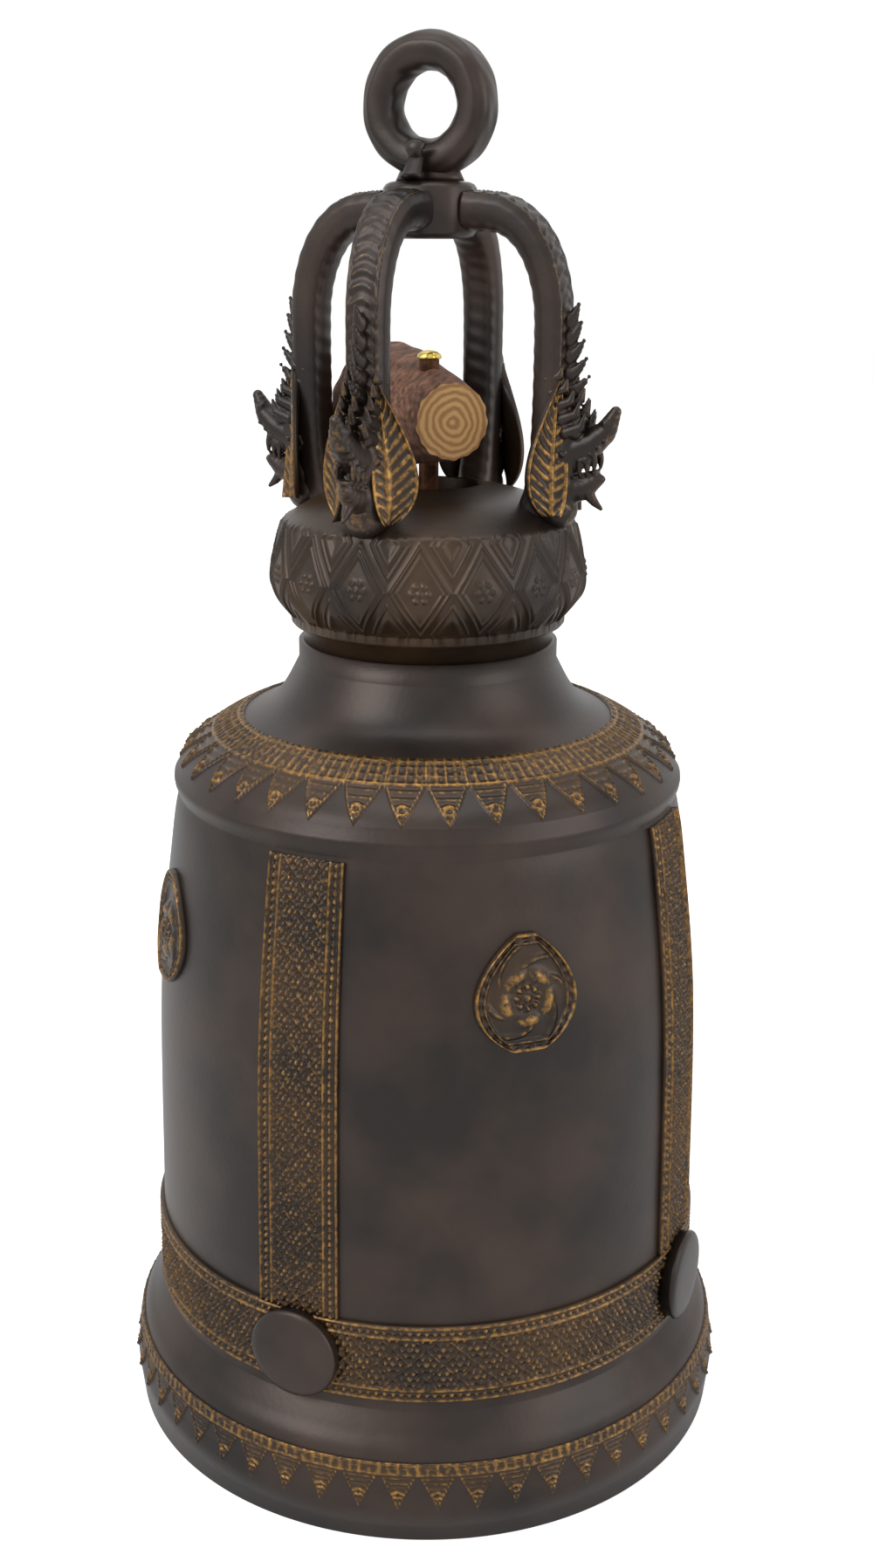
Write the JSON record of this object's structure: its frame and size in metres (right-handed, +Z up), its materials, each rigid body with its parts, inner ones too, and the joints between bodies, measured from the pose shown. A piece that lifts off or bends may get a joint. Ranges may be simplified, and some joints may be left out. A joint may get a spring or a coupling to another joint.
{
  "type": "bronze temple bell",
  "caption": "Cast bronze temple bell with a lotus collar, an open crown of arched arms with serpent heads, a hanging ring, a wooden crossbar and a clapper on a swivel rod.",
  "frame": {"origin": "centre of the rim's plane, at the bottom of the bell", "axes": "+Z up the bell's axis to the ring, -Y towards the front crown arm, +X towards the right one"},
  "size_m": [0.2792, 0.2792, 0.6033],
  "materials": {
    "bronze": "cast bronze with a near-black brown patina, satin",
    "relief_bronze": "cast bronze relief, dark in its hollows and rubbed golden brown on its tops",
    "log_wood": "debarked hardwood with a sawn end",
    "iron": "forged iron with brown rust",
    "rivet_brass": "bright brass"
  },
  "bodies": {
    "bell": {"bell_body": "bronze", "crown_cap": "bronze", "crown_hub": "bronze", "suspension_ring": "bronze", "ring_tail_front": "bronze", "ring_tail_back": "bronze", "crown_arm_right": "bronze", "crown_arm_back": "bronze", "crown_arm_left": "bronze", "crown_arm_front": "bronze", "naga_head_right": "bronze", "naga_head_back": "bronze", "naga_head_left": "bronze", "naga_head_front": "bronze", "head_crest_right": "bronze", "head_crest_back": "bronze", "head_crest_left": "bronze", "head_crest_front": "bronze", "leaf_right_a": "bronze", "leaf_right_b": "bronze", "leaf_back_a": "bronze", "leaf_back_b": "bronze", "leaf_left_a": "bronze", "leaf_left_b": "bronze", "leaf_front_a": "bronze", "leaf_front_b": "bronze", "lower_band": "relief_bronze", "shoulder_pendants": "relief_bronze", "lip_pendants": "relief_bronze", "waist_band_right": "relief_bronze", "waist_band_back": "relief_bronze", "waist_band_left": "relief_bronze", "waist_band_front": "relief_bronze", "medallion_right_back": "relief_bronze", "medallion_back_left": "relief_bronze", "medallion_left_front": "relief_bronze", "medallion_front_right": "relief_bronze", "strike_boss_right": "relief_bronze", "strike_boss_back": "relief_bronze", "strike_boss_left": "relief_bronze", "strike_boss_front": "relief_bronze", "log_crossbar": "log_wood"},
    "hanger": {"hanger_rod": "iron", "hanger_rivet": "rivet_brass", "clapper_pin": "iron"},
    "clapper": {"clapper_stem": "iron", "clapper_ball": "iron"}
  },
  "joints": [
    {"name": "hanger_swivel", "type": "hinge", "parent": "bell", "child": "hanger", "pos_m": [0, 0, 0.453], "axis": [0, 0, 1], "continuous": true},
    {"name": "clapper_swing", "type": "hinge", "parent": "hanger", "child": "clapper", "pos_m": [0, 0, 0.296], "axis": [1, 0, 0], "range_deg": [-23, 23]}
  ]
}
